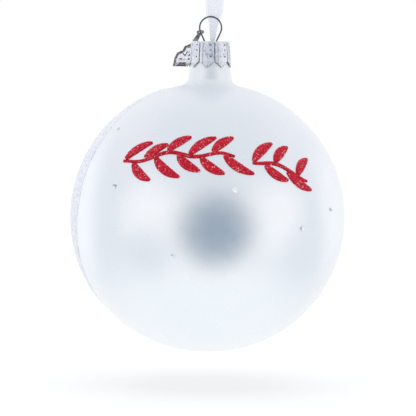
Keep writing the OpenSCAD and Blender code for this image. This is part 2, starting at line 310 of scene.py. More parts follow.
def antique_silver():
    """Silver that is rubbed bright on its high places and left dark and a little brown in its hollows."""
    s = Surface("tag_metal", Metallic=1.0)
    patch = s.noise(650.0, 4.0)
    stops = [(0.3, (0.42, 0.36, 0.36)), (0.4, (0.72, 0.70, 0.75)), (0.58, (0.92, 0.92, 0.98))]
    s.drive("Base Color", s.stain_and_shade(s.ramp(patch, stops), (0.028, 0.018, 0.018)))
    s.drive("Roughness", s.fit(patch, 0.3, 0.7, 0.48, 0.26))
    s.bump(s.noise(2600.0, 3.0), 0.3, 0.00004)
    return s.material


def organza():
    """Sheer plain weave: the threads catch light and the gaps between them let it through."""
    s = Surface("ribbon", Roughness=0.5, Sheen_Weight=0.2, Base_Color=(0.87, 0.89, 0.97, 1.0))
    axes = s.node("SeparateXYZ", {"Vector": s.node("TexCoord").outputs["UV"]}).outputs
    waves = [s.math("SINE", s.math("MULTIPLY", axes[axis], pi / THREAD_PITCH)) for axis in "XY"]
    along, across = [s.math("ABSOLUTE", wave) for wave in waves]
    weave = s.math("MAXIMUM", along, across)
    edge = s.math("ABSOLUTE", s.math("DIVIDE", axes["X"], RIBBON_W / 2))
    selvedge = s.fit(edge, 0.86, 0.95, 0.0, 0.25)
    s.drive("Alpha", s.math("ADD", s.fit(weave, 0.55, 1.0, 0.40, 0.50), selvedge))
    s.bump(weave, 0.3, 0.00004)
    return s.material


def crystal():
    """Foil-backed cut glass with a pastel coating that changes from place to place."""
    s = Surface("crystal", Metallic=0.3, Roughness=0.1, Coat_Weight=1.0)
    spots = s.node("TexVoronoi", {"Vector": s.place(), "Scale": 1700.0})
    hue = s.node("SeparateColor", {"Color": spots.outputs["Color"]}).outputs["Red"]
    s.paint(hue, [
        (0.0, (0.72, 0.90, 0.80)), (0.2, (0.97, 0.98, 1.0)), (0.6, (0.80, 0.92, 0.98)),
        (0.8, (0.66, 0.42, 0.90)), (0.92, (0.45, 0.50, 0.54)),
    ], "CONSTANT")
    return s.material


def wall_paint():
    """Hand-brushed house fronts, each in its own colour by the mesh's tone attribute."""
    s = Surface("house_paint", Roughness=0.5)
    tone = s.node("Attribute", attribute_name="tone").outputs["Fac"]
    stops = [
        (0.0, (0.50, 0.10, 0.07)), (0.2, (0.72, 0.47, 0.16)),
        (0.45, (0.20, 0.33, 0.46)), (0.7, (0.60, 0.24, 0.13)),
    ]
    base = s.ramp(tone, stops, "CONSTANT")
    brush = s.mottle(900.0, 5.0, 0.75, 1.25)
    s.drive("Base Color", s.node("HueSaturation", {"Color": base, "Value": brush}).outputs["Color"])
    s.bump(s.noise(1600.0, 4.0), 0.3, 0.00008)
    return s.material


def pearl_paint(name, low, high):
    """Hand-brushed pearl paint, from its colour at the foot of the picture to its colour at the top."""
    s = Surface(name, Roughness=0.42, Coat_Weight=0.2, Coat_Roughness=0.3)
    height = s.node("SeparateXYZ", {"Vector": s.place()}).outputs["Z"]
    wash = s.fit(s.noise(180.0, 5.0), 0.0, 1.0, -0.17, 0.18)
    level = s.fit(height, CENTRE.z - 30 * MM, CENTRE.z + 36 * MM)
    s.paint(s.math("ADD", level, wash), [(0.0, low), (1.0, high)])
    s.bump(s.noise(900.0, 4.0), 0.25, 0.00008)
    return s.material


def plain_backdrop():
    """A white light table: mostly its own light, with a little grey that takes a faint shadow."""
    return Surface(
        "stage_white", Roughness=0.9, Specular_IOR_Level=0.0, Base_Color=(0.38, 0.38, 0.38, 1.0),
        Emission_Color=(1.0, 1.0, 1.0, 1.0), Emission_Strength=0.605,
    ).material


MATERIALS = {
    "ribbon": organza(),
    "cap_tin": stamped_tin(),
    "spring_wire": spring_steel(),
    "tag_metal": antique_silver(),
    "frosted_glass": frosted_glass(),
    "red_glitter": red_glitter(),
    "crystal": crystal(),
    "white_glitter": white_glitter(),
    "sky_paint": pearl_paint("sky_paint", (0.62, 0.76, 0.88), (0.12, 0.25, 0.52)),
    "house_paint": wall_paint(),
    "green_glitter": coloured_glitter(
        "green_glitter", (0.01, 0.10, 0.05), (0.03, 0.24, 0.11), (0.25, 0.5, 0.3)
    ),
    "gold_glitter": coloured_glitter(
        "gold_glitter", (0.55, 0.36, 0.08), (0.85, 0.62, 0.20), (0.98, 0.9, 0.6)
    ),
}


# ---- Mesh helpers ----------------------------------------


def finish_piece(obj, slot, body, nodes=(), smooth=True):
    obj.data.materials.clear()
    obj.data.materials.append(MATERIALS[slot])
    if smooth:
        obj.data.polygons.foreach_set("use_smooth", [True] * len(obj.data.polygons))
    if body:
        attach(obj, body)
    if nodes:
        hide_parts(*nodes)
    return obj


def mesh_object(name, points, faces):
    data = bpy.data.meshes.new(name)
    data.from_pydata([tuple(p) for p in points], [], faces)
    data.validate()
    data.update()
    return add_object(name, data)


def mark_points(obj, values, mark="stain"):
    """A number for each point of the mesh, which its material reads."""
    obj.data.attributes.new(mark, "FLOAT", "POINT").data.foreach_set("value", values)


def lay_weave(obj, uvs):
    """Where each point lies on the woven ribbon, in metres across and along it."""
    layer = obj.data.uv_layers.new(name="weave")
    for loop in obj.data.loops:
        layer.data[loop.index].uv = uvs[loop.vertex_index]


def as_plain_mesh(obj, name):
    """The object with its modifiers applied, as a new mesh object; the old one is removed."""
    depsgraph = bpy.context.evaluated_depsgraph_get()
    data = bpy.data.meshes.new_from_object(obj.evaluated_get(depsgraph))
    bpy.data.objects.remove(obj)
    data.name = name
    return add_object(name, data)


def joined(name, parts):
    """One mesh object from several (points, faces) pairs."""
    points, faces = [], []
    for part_points, part_faces in parts:
        base = len(points)
        points += list(part_points)
        faces += [tuple(base + i for i in face) for face in part_faces]
    return mesh_object(name, points, faces)


def circle(sides, shift=0.0):
    """The cosine and sine of evenly spread angles, from shift steps on."""
    turns = [2 * pi * (j + shift) / sides for j in range(sides)]
    return [(cos(a), sin(a)) for a in turns]


def grid_faces(rows, columns, closed=True):
    """Quads between neighbouring rows of points, and from the last column to the first if closed."""
    return [
        (k * columns + j, k * columns + n, (k + 1) * columns + n, (k + 1) * columns + j)
        for k in range(rows - 1)
        for j, n in zip(range(columns), [*range(1, columns), 0] if closed else range(1, columns))
    ]


def ring_faces(rings, sides):
    """Faces of a tube of rings, closed at both ends."""
    ends = [tuple(range(sides - 1, -1, -1)), tuple((rings - 1) * sides + j for j in range(sides))]
    return grid_faces(rings, sides) + ends


def tangents(route):
    last = len(route) - 1
    return [(route[min(i + 1, last)] - route[max(i - 1, 0)]).normalized() for i in range(last + 1)]


def tube(route, radius, sides, wide):
    """A round tube along a route that stays square to the direction wide."""
    points = []
    for place, ahead in zip(route, tangents(route)):
        off = ahead.cross(wide).normalized()
        points += [place + radius * (c * wide + s * off) for c, s in circle(sides)]
    return points, ring_faces(len(route), sides)


def lathe(profile, sides):
    """Rings round the ornament's axis through (radius, height) pairs; a radius of 0 is a single point."""
    points, starts = [], []
    for radius, height in profile:
        starts.append((len(points), radius > 0))
        ring = [Vector((radius * c, radius * s, height)) for c, s in circle(sides)]
        points += ring if radius > 0 else [Vector((0, 0, height))]
    faces = []
    for (low, low_ring), (high, high_ring) in zip(starts, starts[1:]):
        for j in range(sides):
            n = (j + 1) % sides
            if low_ring and high_ring:
                faces.append((low + j, low + n, high + n, high + j))
            elif high_ring:
                faces.append((low, high + n, high + j))
            elif low_ring:
                faces.append((low + j, low + n, high))
    return points, faces


def outward(turn, el):
    return Vector((cos(el) * sin(turn), -cos(el) * cos(turn), sin(el)))


def on_ball(turn, el, lift=0.0):
    """A point on the belly, with turn counted from the back (-Y) towards +X, in radians."""
    shift = BELLY_SHIFT * Vector((sin(turn), -cos(turn), 0))
    return CENTRE + shift + (BELLY_R + lift) * outward(turn, el)


# ---- Glass ball ------------------------------------------

LIP = 0.45 * MM
# The neck's side: how far below its mouth, and how much wider than its top.
NECK_SIDE = [
    (10 * MM, 0.95 * MM), (7.7 * MM, 0.5 * MM), (4.7 * MM, 0.1 * MM), (2.7 * MM, 0), (LIP, 0),
]


def smooth_line(points, steps):
    """A Catmull-Rom curve through (x, y) pairs."""
    ends = [points[0]] + points + [points[-1]]
    line = []
    for i in range(1, len(ends) - 2):
        p0, p1, p2, p3 = (Vector(ends[i + k]) for k in (-1, 0, 1, 2))
        for k in range(steps):
            t = k / steps
            line.append(0.5 * (2 * p1 + (p2 - p0) * t + (2 * p0 - 5 * p1 + 4 * p2 - p3) * t * t
                               + (3 * p1 - p0 - 3 * p2 + p3) * t**3))
    line.append(Vector(points[-1]))
    return line


def body_line(inset):
    """The ball and its neck in section, drawn in by inset, from the pole up to just below the mouth."""
    fillet_x = NECK_ROOT_R + NECK_FILLET
    fillet_z = sqrt((BELLY_R + NECK_FILLET) ** 2 - (fillet_x - BELLY_SHIFT) ** 2)
    meeting = atan2(fillet_z, fillet_x - BELLY_SHIFT)
    arc_r = BELLY_R - inset
    pole = -acos(-BELLY_SHIFT / arc_r)
    belly_steps, fillet_steps = 110, 12
    line = []
    for i in range(belly_steps + 1):
        a = pole + (meeting - pole) * i / belly_steps
        line.append(Vector((max(0.0, BELLY_SHIFT + arc_r * cos(a)), CENTRE.z + arc_r * sin(a))))
    line[0].x = 0.0
    bend = NECK_FILLET + inset
    for i in range(1, fillet_steps + 1):
        a = pi + meeting * (1 - i / fillet_steps)
        line.append(Vector((fillet_x + bend * cos(a), CENTRE.z + fillet_z + bend * sin(a))))
    top = NECK_TOP - CENTRE.z
    neck = [(NECK_ROOT_R, fillet_z)] + [(NECK_R + wide, top - drop) for drop, wide in NECK_SIDE]
    line += [Vector((p.x - inset, CENTRE.z + p.y)) for p in smooth_line(neck, 5)[1:]]
    return line


def make_ball():
    lip_r = GLASS_WALL / 2
    lip_steps = 6
    turns = [pi * i / lip_steps for i in range(1, lip_steps)]
    lip = [Vector((NECK_R - lip_r + lip_r * cos(a), NECK_TOP - LIP + LIP * sin(a))) for a in turns]
    profile = [(p.x, p.y) for p in body_line(0) + lip + body_line(GLASS_WALL)[::-1]]
    ball = mesh_object("glass_ball_skin", *lathe(profile, 192))
    finish_piece(ball, "frosted_glass", "ball", ["glass_ball"])


# ---- Cap -------------------------------------------------

TAB_COLUMNS = 44
TAB_ROWS = 64
TAB_PITCH = 2 * pi / TABS
HALF_TAB = pi * CAP_R / TABS
CAP_CORNER = 0.35 * MM
SLIT_TOP = CAP_TOP - 0.6 * MM
# Where the row of beads and the dots stand across a tab, from -1 to 1, and how big they are.
BEAD_LINE = -0.58
BEAD_HALF_W = 0.13
BEAD_PITCH = 0.6 * MM
BEAD_RISE = 0.15 * MM
DOT_LINE = 0.55
DOT_DROPS = (1.3 * MM, 3.2 * MM, 5.6 * MM)
DOT_R = 0.36 * MM
DOT_DEPTH = 0.12 * MM


def stamped_relief(u, drop):
    """Height of the stamping at u, from -1 to 1 across a tab, and at drop below the cap's top."""
    relief = 0.0
    if BEAD_LINE + 0.12 < u < DOT_LINE - 0.1:
        relief += 0.04 * MM * sin(2 * pi * (0.45 * drop + 1.1 * u * HALF_TAB) / (0.66 * MM))
    elif abs(u) < 0.9:
        relief += 0.035 * MM * sin(2 * pi * (0.4 * drop - 1.1 * u * HALF_TAB) / (0.6 * MM))
    beads, line = bead_line(u, drop)
    return relief + BEAD_RISE * beads * line - DOT_DEPTH * dot_mark(u, drop)


def bead_line(u, drop):
    """How high the row of beads stands at u and drop, and how far inside the row that is, from 0 to 1."""
    line = max(0.0, 1 - (abs(u - BEAD_LINE) / BEAD_HALF_W) ** 2)
    return 0.5 + 0.5 * cos(2 * pi * drop / BEAD_PITCH), line


def dot_mark(u, drop):
    """1 in the middle of each of the three punched dots on a tab, falling to 0 at its edge."""
    reach = min(hypot((u - DOT_LINE) * HALF_TAB, drop - level) for level in DOT_DROPS)
    return min(1.0, 2.5 * max(0.0, 1 - (reach / DOT_R) ** 2))


def cap_point(tab, u, radius, height):
    """A point at u across a tab, from -1 to 1, with half a slit left free at either side of the tab."""
    edge = 1 - SLIT_W / (TAB_PITCH * max(radius, CAP_R))
    angle = radians(FIRST_SLIT) + TAB_PITCH * (tab + 0.5 + 0.5 * u * edge)
    return Vector((radius * sin(angle), -radius * cos(angle), height))


def closed_band():
    """The radius and height of each row from the flat top, round the corner, to where the slits start."""
    steps = 5
    turns = [pi / 2 * i / steps for i in range(steps + 1)]
    corner = [(CAP_R - CAP_CORNER * (1 - sin(a)), CAP_TOP - CAP_CORNER * (1 - cos(a))) for a in turns]
    return corner + [(CAP_R + 0.01 * MM, SLIT_TOP)]


def make_cap():
    columns = [(k, -1 + 2 * j / TAB_COLUMNS) for k in range(TABS) for j in range(TAB_COLUMNS + 1)]
    count = len(columns)
    band = closed_band()
    points, stains, dots = [], [], []
    for radius, height in band:
        for tab, u in columns:
            points.append(cap_point(tab, u, radius, height))
            stains.append(0.0)
            dots.append(0.0)
    for i in range(1, TAB_ROWS + 1):
        for tab, u in columns:
            foot = CAP_TIP + TAB_POINT * min(1.0, abs(u) * 1.02)
            height = SLIT_TOP + (foot - SLIT_TOP) * i / TAB_ROWS
            drop = CAP_TOP - height
            radius = CAP_R + (CAP_TIP_R - CAP_R) * drop / (CAP_TOP - CAP_TIP)
            if i < TAB_ROWS and abs(u) < 1:
                radius += stamped_relief(u, drop)
            points.append(cap_point(tab, u, radius, height))
            stains.append(1.0 if i == TAB_ROWS else 0.6 if abs(u) == 1 else 0.0)
            beads, line = bead_line(u, drop)
            # The dots mark is painted shade: full in the punched dots and strong in the gaps between the
            # beads.
            dots.append(max(dot_mark(u, drop), 0.8 * (1 - beads) * line))
    faces = []
    for i in range(len(band) + TAB_ROWS - 1):
        for c in range(count):
            n = (c + 1) % count
            same_tab = columns[c][0] == columns[n][0] and n > c
            if i < len(band) - 1 or same_tab:
                faces.append((i * count + c, (i + 1) * count + c, (i + 1) * count + n, i * count + n))
    add_cap_top(points, faces, count)
    sheet = mesh_object("cap_sheet", points, faces)
    flat_top = [0.0] * (len(points) - len(stains))
    mark_points(sheet, stains + flat_top)
    mark_points(sheet, dots + flat_top, "dots")
    solid = sheet.modifiers.new("thickness", "SOLIDIFY")
    solid.thickness = SHEET
    solid.offset = -1
    finish_piece(as_plain_mesh(sheet, "cap_shell"), "cap_tin", "cap", ["cap_crown"])


# Points that are nearer than this are one point to the triangulation.
WELD = 1e-9


def add_cap_top(points, faces, count):
    """Fills the cap's top inside its first ring of points, round the holes for the legs and the ribbon."""
    play = 0.25 * MM
    holes = [
        (-LEG_IN, 0.0, WIRE_R + play), (LEG_IN, 0.0, WIRE_R + play),
        (RIBBON_HOLE.x, RIBBON_HOLE.y, RIBBON_HOLE_R),
    ]
    flat = [Vector((p.x, p.y)) for p in points[:count]]
    loops = [range(count)]
    for x, y, radius in holes:
        start = len(flat)
        flat += [Vector((x + radius * c, y + radius * s)) for c, s in circle(24)]
        loops.append(range(start, len(flat)))
    edges = [(i, i + 1 if i + 1 in loop else loop[0]) for loop in loops for i in loop]
    out_points, _, out_faces, origins = delaunay_2d_cdt(flat, edges, [], 0, WELD)[:4]
    index = []
    for place, origin in zip(out_points, origins):
        if origin and origin[0] < count:
            index.append(origin[0])
        else:
            index.append(len(points))
            points.append(Vector((place.x, place.y, CAP_TOP)))
    for face in out_faces:
        middle = sum((out_points[i] for i in face), Vector((0, 0))) / len(face)
        in_hole = any(hypot(middle.x - x, middle.y - y) < radius for x, y, radius in holes)
        if not in_hole and middle.length < CAP_R:
            faces.append(tuple(index[i] for i in face))


# ---- Hanger wire -----------------------------------------


def hanger_route():
    """From the left leg's end, round the loop, to the right leg's end."""
    tangent = acos(LOOP_R / hypot(LEG_IN, LOOP_RISE)) - atan2(LOOP_RISE, LEG_IN)
    bend_top, bend_foot = CAP_TOP - 4 * MM, CAP_TOP - 13 * MM
    leg = [
        Vector((LEG_IN + 0.02 * MM, 0, CAP_TOP + 0.12 * MM)), Vector((LEG_IN, 0, CAP_TOP - 0.15 * MM)),
    ]
    for s in np.linspace(0, 1, 17):
        out = LEG_IN + (LEG_OUT - LEG_IN) * (1 - cos(pi * s)) / 2
        leg.append(Vector((out, 0, bend_top + (bend_foot - bend_top) * s)))
    leg.append(Vector((LEG_OUT, 0, CAP_TOP - LEG_REACH)))
    loop_z = CAP_TOP + LOOP_RISE
    turns = np.linspace(pi - tangent, tangent, 73)
    loop = [Vector((LOOP_R * cos(a), 0, loop_z + LOOP_R * sin(a))) for a in turns]
    left = [Vector((-p.x, 0, p.z)) for p in reversed(leg)]
    return left + loop + leg


def make_hanger():
    wire_sides = 16
    wire = mesh_object("hanger_wire_round", *tube(hanger_route(), WIRE_R, wire_sides, Vector((0, 1, 0))))
    finish_piece(wire, "spring_wire", "hanger", ["hanger_wire"])


# ---- Ribbon ----------------------------------------------

# Heights above the cap in millimetres, and the part of its full width that the ribbon has there.
GATHER_AT = [-1, 0, 7.4, 9.6, 12]
GATHER_TO = [0.26, 0.27, 0.6, 0.88, 1]
WOVEN_WIDTH = 0.95 * RIBBON_W
# How far the strip bows to the side, folds where it is gathered, cups, ripples, and how far each run
# slips to its own side.
SWAY = 1.3 * MM
PLEAT = 0.34 * MM
CUP = 0.16 * MM
RIPPLE = 0.1 * MM
SLIP = 0.32 * MM


def run_point(side, z):
    """The middle of the front run (side -1) or the back run (side 1) at height z."""
    low = RIBBON_HOLE.y + side * PLY_GAP / 2
    up = (z - CAP_TOP) / (-CAP_TOP - TURN_R)
    sway = SWAY * sin(pi * min(1.0, max(0.0, up)))
    return Vector((RIBBON_HOLE.x * z / CAP_TOP + sway, low + (side * TURN_R - low) * up, z))


def ribbon_route():
    """The ribbon's own route: up the front run, over the turn and down the back run into the hole."""
    foot = CAP_TOP - 0.9 * MM
    shoulder = -TURN_R
    heights = np.linspace(foot, shoulder, 90, endpoint=False)
    rise = TURN_R - 0.1 * MM
    turn = [Vector((0, TURN_R * cos(a), shoulder + rise * sin(a))) for a in np.linspace(pi, 0, 25)]
    return [run_point(-1, z) for z in heights] + turn + [run_point(1, z) for z in heights[::-1]]


def make_ribbon():
    route = ribbon_route()
    across = 24
    points, uvs = [], []
    travelled = 0.0
    ahead = tangents(route)
    half_way = len(route) / 2
    for i, place in enumerate(route):
        if i:
            travelled += (place - route[i - 1]).length
        above = max(0.0, place.z - CAP_TOP)
        gather = float(np.interp((place.z - CAP_TOP) / MM, GATHER_AT, GATHER_TO))
        side = -1 if i < half_way else 1
        pleat = PLEAT * sqrt(max(0.0, 1 - gather**2))
        off = Vector((1, 0, 0)).cross(ahead[i]).normalized()
        slip = side * SLIP * min(1.0, above / (9 * MM))
        for j in range(across + 1):
            u = -1 + 2 * j / across
            fold = pleat * cos(2.6 * pi * u + side) + CUP * gather * u * u * side
            ripple = RIPPLE * sin(travelled / (9 * MM) + 2.2 * u) * min(1.0, above / (20 * MM))
            x = u * WOVEN_WIDTH / 2 * gather + slip
            points.append(place + Vector((x, 0, 0)) + (fold + ripple) * off)
            uvs.append((u * RIBBON_W / 2, travelled))
    ribbon = mesh_object("ribbon_organza", points, grid_faces(len(route), across + 1, closed=False))
    lay_weave(ribbon, uvs)
    finish_piece(ribbon, "ribbon", None, ["ribbon_loop", "ribbon_tail"])
    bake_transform(ribbon)


KNOT_SIZE = 0.38 * MM
KNOT_ROPE = (0.42 * MM, 0.36 * MM)


def make_knot():
    """An overhand knot pulled tight under the cap's top."""
    middle = (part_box("ribbon_knot")[0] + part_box("ribbon_knot")[1]) / 2
    steps, sides = 96, 10
    points, uvs = [], []
    for i in range(steps):
        t = 2 * pi * i / steps
        spot = Vector((sin(t) + 2 * sin(2 * t), cos(t) - 2 * cos(2 * t), -1.6 * sin(3 * t)))
        place = middle + KNOT_SIZE * spot
        away = (place - middle).normalized()
        ahead = Vector((cos(t) + 4 * cos(2 * t), -sin(t) + 4 * sin(2 * t), -4.8 * cos(3 * t))).normalized()
        off = ahead.cross(away).normalized()
        for j in range(sides):
            a = 2 * pi * j / sides
            crease = 1 + 0.12 * sin(3 * a + 5 * t)
            reach = KNOT_ROPE[0] * cos(a) * off + KNOT_ROPE[1] * sin(a) * off.cross(ahead)
            points.append(place + crease * reach)
            uvs.append(((j - 5) * 0.25 * MM, i * 0.2 * MM))
    faces = [tuple(k % len(points) for k in face) for face in grid_faces(steps + 1, sides)]
    knot = mesh_object("ribbon_knot_tied", points, faces)
    lay_weave(knot, uvs)
    finish_piece(knot, "ribbon", "cap", ["ribbon_knot"])


# ---- Tag -------------------------------------------------

# Half of the tree's outline, from its foot to its tip: how far down, and how far out.
TREE_STEPS = [
    (1, 0.68), (0.78, 0.94), (0.62, 0.98), (0.55, 0.6), (0.43, 0.64), (0.36, 0.26), (0.03, 0.16),
]
# The pierced triangles on one side, which are mirrored on the other: how far across, as part of the
# width, how far down, as part of the length, the radius, and how much longer than wide.
TREE_HOLES = [(0.13, 0.61, 0.9, 2.4), (0.2, 0.765, 0.75, 1), (0.22, 0.89, 0.8, 1)]
# The panel's edge, in half widths and in lengths of the tag, how much wider its holes are in
# millimetres, and where the plate narrows to the stem that has no panel.
PANEL_INSET = 0.17
PANEL_FOOT = 1 - PANEL_INSET / 12
PANEL_HOLE_RIM = 0.25
STEM_WIDE, STEM_TOP = 0.3, 0.3
PANEL_RISE = 0.12 * MM
EYE_R = 1.35 * MM
EYE_HOLE_R = 0.85 * MM


def tag_matrix():
    """From the tag's own plane, X across and -Y down its length, to its place against the cap's rim."""
    level = Vector((cos(TAG_TURN), sin(TAG_TURN), 0))
    across = Vector((sin(TAG_TURN), -cos(TAG_TURN), 0))
    rim_reach = CAP_R - TAG_EYE.dot(level)
    rim_drop = TAG_EYE.z - CAP_TOP
    tilt = acos(-(TAG_T / 2 + TAG_LEAN_GAP) / hypot(rim_reach, rim_drop)) - atan2(rim_drop, rim_reach)
    down = sin(tilt) * level - cos(tilt) * Vector((0, 0, 1))
    face = across.cross(-down)
    return Matrix.Translation(TAG_EYE) @ Matrix((across, -down, face)).transposed().to_4x4()


def closed_loop(curve, loop):
    spline = curve.splines.new("POLY")
    spline.points.add(len(loop) - 1)
    spline.use_cyclic_u = True
    for point, (x, y) in zip(spline.points, loop):
        point.co = (x, y, 0, 1)


def tag_layer(outline, grow, half_thick):
    """A plate in the tag's own plane, its triangles grown by grow millimetres; only if 0 is the eye cut."""
    bevel = 0.06 * MM
    curve = bpy.data.curves.new("tag_layer", "CURVE")
    curve.dimensions = "2D"
    curve.fill_mode = "BOTH"
    curve.extrude = half_thick - bevel
    curve.bevel_depth = bevel
    curve.bevel_resolution = 2
    curve.offset = -bevel
    closed_loop(curve, outline)
    for x, y, radius, stretch in TREE_HOLES:
        reach = (radius + grow) * MM
        for side in (-1, 1):
            corners = [
                (side * (x * TAG_W + reach * cos(a)), -y * TAG_L + stretch * reach * sin(a))
                for a in (0, 2 * pi / 3, 4 * pi / 3)
            ]
            closed_loop(curve, corners)
    if not grow:
        turns = np.linspace(0, -2 * pi, 28, endpoint=False)
        closed_loop(curve, [(EYE_HOLE_R * cos(a), EYE_HOLE_R * sin(a)) for a in turns])
    return as_plain_mesh(add_object("tag_layer", curve), "tag_layer")


def make_tag():
    """A dark cast plate whose raised inner panel is rubbed bright."""
    right = [(wide * TAG_W / 2, -down * TAG_L) for down, wide in TREE_STEPS]
    neck = atan2(right[-1][1], right[-1][0])
    gap = 0.12
    turns = np.linspace(neck + gap, pi - neck - gap, 28)
    round_eye = [(EYE_R * cos(a), EYE_R * sin(a)) for a in turns]
    left = [(-x, y) for x, y in reversed(right)]
    plate = tag_layer(right + round_eye + left, 0, TAG_T / 2 - PANEL_RISE)
    mark_points(plate, [1.0 if v.co.y < -STEM_TOP * TAG_L else 0.8 for v in plate.data.vertices])
    side = [
        ((wide - PANEL_INSET) * TAG_W / 2, -min(down, PANEL_FOOT) * TAG_L)
        for down, wide in TREE_STEPS
        if wide > STEM_WIDE
    ]
    panel = tag_layer(side + [(-x, y) for x, y in reversed(side)], PANEL_HOLE_RIM, TAG_T / 2)
    face = TAG_T / 2 - 0.01 * MM
    mark_points(panel, [0.0 if abs(v.co.z) > face else 1.0 for v in panel.data.vertices])
    with bpy.context.temp_override(active_object=plate, selected_editable_objects=[plate, panel]):
        bpy.ops.object.join()
    plate.name = "tag_tree"
    plate.data.transform(tag_matrix())
    plate.data.update()
    finish_piece(plate, "tag_metal", "tag", ["tag_plate"], smooth=False)


# ---- Decoration on the ball ------------------------------

# How high a stroke of glitter stands, how rough its top is and how ragged its edges are.
STROKE_RISE = 0.5 * MM
STROKE_GRAIN = 0.055 * MM
STROKE_RAG = 0.03 * MM


def stroke_mesh(spots, across=12):
    """A raised, grainy stroke of glitter along (turn, elevation, width) spots, in radians and metres."""
    route = [on_ball(t, e, SKIN_GAP + 0.04 * MM) for t, e, _ in spots]
    ahead = tangents(route)
    points = []
    sides = across + 1
    for place, along, (turn, el, width) in zip(route, ahead, spots):
        up = outward(turn, el)
        side = along.cross(up).normalized()
        rise = STROKE_RISE * min(1.0, 0.35 + width / (3 * MM))
        for j in range(sides):
            u = 1 - 2 * j / across
            crown = rise * sqrt(max(0.0, 1 - u * u)) ** 0.8
            grain = 0.0 if abs(u) == 1 else rng.normal(0, STROKE_GRAIN)
            edge = rng.normal(0, STROKE_RAG)
            points.append(place + (u * width / 2 + edge) * side + max(0.0, crown + grain) * up)
    return points, ring_faces(len(route), sides)


# Angles in degrees and lengths in millimetres.
ARCH_TOP, ARCH_MIDDLE, ARCH_FALL = 30.5, -6, 0.004
WAVE, WAVE_RATE = 1.2, 14
STEM_W, STEM_SWELL = 1.1, 0.5
LEAF_LONG, LEAF_SHORT = 12, 10
LEAF_LEAN, LEAF_CURL = 60, 22
LEAF_TIP_W, LEAF_SWELL = 0.4, 3.2
LEAF_START = 0.15
STEM_GAP = 0.9


def arch_el(turn):
    """The height of the sprigs' stem in degrees, at a turn in degrees."""
    return ARCH_TOP - ARCH_FALL * (turn - ARCH_MIDDLE) ** 2 + WAVE * sin(radians(turn * WAVE_RATE))


def leaf_spots(turn, side, length):
    steps = 34
    mm_to_deg = degrees(MM / (ball_hi.x - ball_lo.x) * 2)
    el = arch_el(turn)
    spots = []
    for i in range(steps + 1):
        s = i / steps
        along = s * length
        bend = radians(LEAF_LEAN - LEAF_CURL * s)
        here = turn + along * cos(bend) * mm_to_deg / cos(radians(el))
        level = el + side * (STEM_GAP + along) * sin(bend) * mm_to_deg
        width = LEAF_TIP_W + LEAF_SWELL * sin(pi * min(1, 0.08 + 0.9 * s)) ** 0.7
        spots.append((radians(here), radians(level), width * MM))
    return spots


def make_sprig(name, start, finish, leaves, nodes):
    stem = []
    stem_steps = int((finish - start) * 3)
    for i in range(stem_steps + 1):
        s = i / stem_steps
        turn = start + (finish - start) * s
        width = STEM_W + STEM_SWELL * sin(pi * s)
        stem.append((radians(turn), radians(arch_el(turn)), width * MM))
    parts = [stroke_mesh(stem, across=8)]
    pitch = (finish - start) / leaves
    for k in range(leaves):
        side = 1 if k % 2 == 0 else -1
        length = LEAF_LONG if k % 3 == 0 else LEAF_SHORT
        parts.append(stroke_mesh(leaf_spots(start + pitch * (k + LEAF_START), side, length)))
    finish_piece(joined(name, parts), "red_glitter", "ball", nodes, smooth=False)


# Each stone's turn and height in degrees, and its width in millimetres.
CRYSTALS = [
    (-43.5, 15.2, 1.8), (11, 14.9, 2.2), (-14.7, -12.8, 1.8),
    (41.8, -1.4, 1.8), (62, 5.7, 1.6), (-60.7, 41.8, 1.5),
]
# The rings of a cut stone in its own radius: how wide, how high, and turned by how many facets.
CUT = [(1.0, 0.0, 0), (1.0, 0.12, 0), (0.82, 0.45, 0.5), (0.52, 0.8, 0)]
FACETS = 8


def make_crystals():
    """Flat-backed stones: a girdle, a crown of facets and a flat table."""
    parts = []
    for turn, el, size in CRYSTALS:
        t, e = radians(turn), radians(el)
        up = outward(t, e)
        right = Vector((cos(t), sin(t), 0))
        over = up.cross(right)
        base = on_ball(t, e, SKIN_GAP)
        radius = size * MM / 2
        points = [
            base + radius * (reach * (c * right + s * over) + rise * up)
            for reach, rise, shift in CUT
            for c, s in circle(FACETS, shift)
        ]
        parts.append((points, ring_faces(len(CUT), FACETS)))
    finish_piece(joined("crystal_stones", parts), "crystal", "ball", ["crystals"], smooth=False)


def front_axes():
    facing = outward(FRONT_TURN, FRONT_LIFT)
    right = Vector((-facing.y, facing.x, 0)).normalized()
    return facing, right, facing.cross(right)


FACING, FRONT_RIGHT, FRONT_UP = front_axes()


def lift_from_glass(point):
    """How far a point is out of the belly, and the direction straight out."""
    level = hypot(point.x, point.y)
    arm = Vector((level - BELLY_SHIFT, point.z - CENTRE.z))
    out = arm.normalized()
    return arm.length - BELLY_R, Vector((out.x * point.x / level, out.x * point.y / level, out.y))


def seat(start, direction, reach, lift):
    """The point at that lift above the glass, on the line from start, about reach along it."""
    for _ in range(4):
        high, out = lift_from_glass(start + reach * direction)
        reach -= (high - lift) / out.dot(direction)
    return start + reach * direction


BORDER_INNER = PICTURE_ANGLE + radians(0.5)
BORDER_RISE = 0.36 * MM
BORDER_GRAIN = 0.09 * MM
BORDER_BACK = 0.02 * MM


